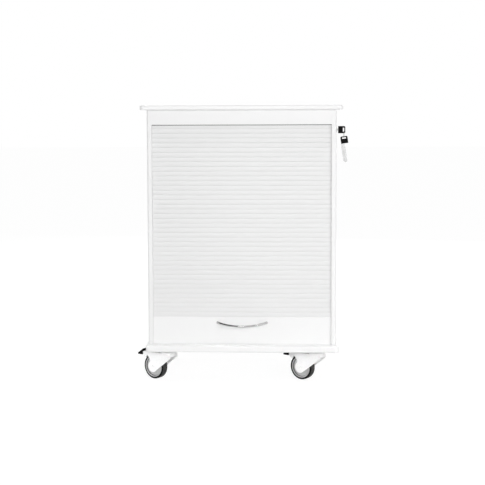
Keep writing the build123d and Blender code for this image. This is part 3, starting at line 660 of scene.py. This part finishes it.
def add_wheel_core(corner):
    """Wheel centre with a lipped rim, a stepped web and a raised hub, and painted shade on the groove at
    the rim's foot.
    """
    rim = wheel_radius(corner) - TYRE_THICK
    rim_edge, web = rim - RIM, WHEEL_HALF - WEB_SUNK
    section = [
        *placed(HUB_INSIDE, AXLE_BORE, HUB_HALF), *placed(HUB_OUTSIDE, 0.0, HUB_HALF),
        *placed(WEB, 0.0, web), *placed(RIM_FOOT, rim_edge, web),
        *placed(RIM_INSIDE, rim_edge, WHEEL_HALF), *placed(RIM_OUTSIDE, rim, WHEEL_HALF),
    ]

    # Faces that take the painted groove shade.
    def in_painted_groove_shade(r, w):
        return rim_edge - GROOVE_SHADE_IN < r < rim_edge + GROOVE_SHADE_OUT and w < WHEEL_HALF - GROOVE_SHADE_SUNK

    work = bmesh.new()
    turned(work, both_faces(section), at_joint(corner, "roll"))
    obj = finished(f"wheel_centre_{corner}", work, f"wheel_{corner}", (f"wheel_core_{corner}",), HUB,
                   sharp=28.0)
    tread_tone_and_groove_shade(obj, corner, HUB_PAINTED_SHADE, in_painted_groove_shade)


PAD_HALF, PAD_EDGE = 12 * MM, 1.2 * MM
PAD_RIBS = 6
RIB_INSET, RIB_EDGE = 2.2 * MM, 0.2 * MM

# The pad's points from the pedal's pin, its corners' radii and its ribs, in millimetres.
PAD_POINTS = ((14, -9), (14, 14), (18, 14), (47, -7), (46, -12), (24, -12))
PAD_RADII = (0.5, 1.5, 2.5, 1.5, 1.5, 5)
RIB_START, RIB_PITCH = 4.5, 4.6
RIB_SUNK, RIB_TALL = 0.6, 1.1
RIB_FOOT, RIB_CREST = 0.9, 0.5  # half widths


def add_brake_pad(corner):
    """Foot pad: rounded wedge with grip ribs across its slope."""
    place = at_joint(corner, "brake")
    points = [Vector(p) * MM for p in PAD_POINTS]
    work = bmesh.new()
    outline = rounded(points, [radius * MM for radius in PAD_RADII])
    plate(work, outline, -PAD_HALF, PAD_HALF, place, PAD_EDGE)
    top, tip = points[2], points[3]
    slope = (tip - top).normalized()
    out = Vector((-slope.y, slope.x))
    foot, crest, tall = slope * RIB_FOOT * MM, slope * RIB_CREST * MM, out * RIB_TALL * MM
    for i in range(PAD_RIBS):
        here = top + slope * (RIB_START + RIB_PITCH * i) * MM - out * RIB_SUNK * MM
        rib = [here - foot, here - crest + tall, here + crest + tall, here + foot]
        plate(work, rib, -PAD_HALF + RIB_INSET, PAD_HALF - RIB_INSET, place, RIB_EDGE)
    finished(f"pedal_pad_{corner}", work, f"brake_{corner}", (f"brake_pad_{corner}",), BLACK, sharp=40.0)


for corner in CORNERS:
    add_tyre(corner)
    add_wheel_core(corner)
    if corner.startswith("front"):
        add_brake_pad(corner)

# ---- lock and keys ----------------------------------------------------------------
LOCK_BORE, LOCK_BARREL = 5.56 * MM, 9 * MM  # radii
FLANGE_SIDE, FLANGE_ROUND = 0.9 * MM, 1.8 * MM  # its straight side, and the round above that
KNURL_TEETH, KNURL_HALF = 60, 0.12 * MM  # how many, and half of their depth
KNURLED = 0.1 * MM  # points this near the flange's radius take the knurl
LOCK_STEPS = 240

# Points round the key's opening in millimetres, as (radius from the bore, back from the face).
LOCK_MOUTH = ((1.4, 0), (0.5, 0.3), (0, 0.8))


def add_lock_housing():
    """Lock barrel with a domed flange and a fine knurl round its rim."""
    low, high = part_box("lock_housing")
    centre = (low + high) / 2
    flange = (high.z - low.z) / 2
    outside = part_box("side_panel_right")[1].x
    section = [
        (LOCK_BORE, low.x), (LOCK_BARREL, low.x), (LOCK_BARREL, outside), (flange, outside),
        (flange, outside + FLANGE_SIDE),
        *arc(flange - FLANGE_ROUND, high.x - FLANGE_ROUND, FLANGE_ROUND, 8, 90, steps=6),
        *[(LOCK_BORE + r * MM, high.x - back * MM) for r, back in LOCK_MOUTH],
    ]
    place = Matrix.Translation((0, centre.y, centre.z))
    rings = []
    for t in full_turn(LOCK_STEPS):
        knurl = KNURL_HALF * (1 + math.cos(KNURL_TEETH * t))
        ring = []
        for r, x in section:
            grown = r - knurl if r > flange - KNURLED else r
            ring.append(place @ Vector((x, grown * math.cos(t), grown * math.sin(t))))
        rings.append(ring)
    work = bmesh.new()
    skin(work, rings, joined=True)
    finished("lock_escutcheon", work, "cabinet", ("lock_housing",), NICKEL, sharp=30.0)


RING_STEPS, RING_SIDES, RING_TURNS = 192, 10, 2
RING_CROSSING = 9  # the higher, the shorter the stretch where the wire crosses to its other turn
RING_APART = 0.98  # share of the wire's radius that each turn lies to its side


def add_ring():
    """Split key ring: two turns of wire side by side."""
    low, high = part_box("key_ring")
    centre, radius = (low + high) / 2, (high.z - low.z) / 2
    wire = (high.x - low.x) / (2 * RING_TURNS)  # radius of the wire
    middle = radius - 2 * wire
    rings = []
    for i in range(RING_STEPS + 1):
        t = i / RING_STEPS
        turn = 2 * RING_TURNS * math.pi * t
        shift = wire * math.tanh(RING_CROSSING * (t - 0.5)) * RING_APART
        out = Vector((0, math.cos(turn), math.sin(turn)))
        here = centre + out * middle + Vector((shift, 0, 0))
        rings.append([
            here + out * wire * math.cos(a) + Vector((wire * math.sin(a), 0, 0))
            for a in full_turn(RING_SIDES)
        ])
    work = bmesh.new()
    skin(work, rings)
    finished("split_ring", work, "ring", ("key_ring",), NICKEL, sharp=60.0)


add_lock_housing()
add_ring()

# ---- eased edges of the CAD pieces --------------------------------------------------
EASED_ANGLE, EASED_SEGMENTS = 28.0, 3  # edges sharper than this many degrees are rounded
SEAM_WELD = 0.01 * MM


def eased(node, width):
    """Rounds a CAD piece's sharp edges with modifiers; its mesh stays as it is."""
    obj = frame["nodes"][node]
    weld = obj.modifiers.new("weld", "WELD")
    weld.merge_threshold = SEAM_WELD
    bevel = obj.modifiers.new("bevel", "BEVEL")
    bevel.width, bevel.segments = width, EASED_SEGMENTS
    bevel.limit_method, bevel.angle_limit = "ANGLE", math.radians(EASED_ANGLE)


for corner in CORNERS:
    eased(f"castor_fork_{corner}", 0.9 * MM)
for node in ("key_bow", "spare_key_bow"):
    eased(node, 0.7 * MM)

# ---- studio -----------------------------------------------------------------------
SEES_WHITE = ("Is Camera Ray", "Is Glossy Ray", "Is Transmission Ray")
WORLD_LIGHT, WORLD_SEEN = 0.5, 1.0
FLOOR_GREY, FLOOR_GLOW = 0.85, 1.145
FLOOR_SHADOW_SHARE = 0.22  # share of the floor's look that takes shadows
FLOOR_SIZE, FLOOR_BELOW = 60.0, 0.5 * MM


def sees_white(tree):
    """1 for the ray kinds that should see the studio as white, else 0."""
    path = tree.nodes.new("ShaderNodeLightPath")
    found = path.outputs[SEES_WHITE[0]]
    for kind in SEES_WHITE[1:]:
        either = tree.nodes.new("ShaderNodeMath")
        either.operation = "MAXIMUM"
        tree.links.new(found, either.inputs[0])
        tree.links.new(path.outputs[kind], either.inputs[1])
        found = either.outputs[0]
    return found


def mixed(tree, factor, first, second):
    """Mix of two shaders by a factor's socket or a number."""
    mix = tree.nodes.new("ShaderNodeMixShader")
    if isinstance(factor, float):
        mix.inputs[0].default_value = factor
    else:
        tree.links.new(factor, mix.inputs[0])
    tree.links.new(first, mix.inputs[1])
    tree.links.new(second, mix.inputs[2])
    return mix.outputs[0]


def glowing(tree, kind, strength):
    """White light of one strength, from an emission or a background."""
    node = tree.nodes.new(kind)
    node.inputs["Color"].default_value = (1, 1, 1, 1)
    node.inputs["Strength"].default_value = strength
    return node.outputs[0]


def floor_material():
    """Pale floor that looks white and keeps a soft share of the shadow."""
    m = bpy.data.materials.new("floor_white")
    m.use_nodes = True
    tree = m.node_tree
    tree.nodes.clear()
    diffuse = tree.nodes.new("ShaderNodeBsdfDiffuse")
    diffuse.inputs["Color"].default_value = (*grey(FLOOR_GREY), 1)
    lit = diffuse.outputs[0]
    seen = mixed(tree, 1.0 - FLOOR_SHADOW_SHARE, lit, glowing(tree, "ShaderNodeEmission", FLOOR_GLOW))
    output = tree.nodes.new("ShaderNodeOutputMaterial")
    tree.links.new(mixed(tree, sees_white(tree), lit, seen), output.inputs["Surface"])
    return m


def card(name, width, height, level, material):
    """Rectangle about the origin, facing up at a level, that isn't part of the object."""
    w, h = width / 2, height / 2
    mesh = bpy.data.meshes.new(name)
    corners = [(-w, -h, level), (w, -h, level), (w, h, level), (-w, h, level)]
    mesh.from_pydata(corners, [], [(0, 1, 2, 3)])
    mesh.materials.append(material)
    obj = bpy.data.objects.new(name, mesh)
    bpy.context.scene.collection.objects.link(obj)
    return obj


def add_world():
    """World that lights softly and looks white."""
    world = bpy.data.worlds.new("studio")
    bpy.context.scene.world = world
    world.use_nodes = True
    tree = world.node_tree
    tree.nodes.clear()
    light = glowing(tree, "ShaderNodeBackground", WORLD_LIGHT)
    seen = glowing(tree, "ShaderNodeBackground", WORLD_SEEN)
    output = tree.nodes.new("ShaderNodeOutputWorld")
    tree.links.new(mixed(tree, sees_white(tree), light, seen), output.inputs["Surface"])


card("floor", FLOOR_SIZE, FLOOR_SIZE, cad_box[0].z - FLOOR_BELOW, floor_material())
add_world()


def lamp(name, place, aim, width, height, watts, spread=180, mirrored=False):
    """Rectangular lamp aimed at a point, its spread in degrees, mirrored where chrome shows it."""
    data = bpy.data.lights.new(name, "AREA")
    data.shape, data.size, data.size_y, data.energy = "RECTANGLE", width, height, watts
    data.spread = math.radians(spread)
    obj = bpy.data.objects.new(name, data)
    bpy.context.scene.collection.objects.link(obj)
    obj.location = place
    obj.rotation_mode = "QUATERNION"
    obj.rotation_quaternion = (Vector(aim) - Vector(place)).to_track_quat("-Z", "Y")
    obj.visible_camera = False
    obj.visible_glossy = mirrored


LOW_FRONT = (0.0, 0.0, 0.4)
lamp("key", (2.4, -3.8, 1.55), LOW_FRONT, 2.2, 0.35, 43.0, mirrored=True)
lamp("fill", (-0.6, -4.3, 1.3), LOW_FRONT, 2.2, 0.35, 33.0, mirrored=True)
lamp("kicker", (0.3, -1.5, 0.45), (0.0, -0.25, 0.1), 1.8, 0.3, 1.48)
lamp("low", (-0.6, -1.5, 0.06), (0.0, -0.2, 0.045), 1.6, 0.1, 0.18, spread=7)
lamp("foot", (0.0, -0.95, 3.0), (0.0, -0.262, 0.1), 1.2, 0.3, 0.31, spread=10)
lamp("top", (0.0, -0.4, 3.4), LOW_FRONT, 2.4, 2.4, 8.0, mirrored=True)
lamp("back", (0.6, 4.2, 1.8), LOW_FRONT, 3.0, 3.0, 45.0, mirrored=True)


def flag(name, place, aim, width, height, shade):
    """Dark card that only reflections see, so that chrome has something dark to show."""
    matt = Nodes(name)
    matt.set("Base Color", (*grey(shade), 1))
    matt.set("Roughness", 0.9)
    obj = card(name, width, height, 0.0, matt.material)
    turn = (Vector(aim) - Vector(place)).to_track_quat("Z", "Y")
    obj.matrix_world = Matrix.Translation(place) @ turn.to_matrix().to_4x4()
    obj.visible_camera = obj.visible_diffuse = obj.visible_shadow = obj.visible_transmission = False


flag("black_card", (-0.62, -0.82, 0.42), (-0.03, -0.25, 0.3), 1.1, 1.3, 0.01)
flag("grey_card", (0.62, -1.45, 0.25), (0.03, -0.25, 0.24), 0.75, 0.9, 0.3)
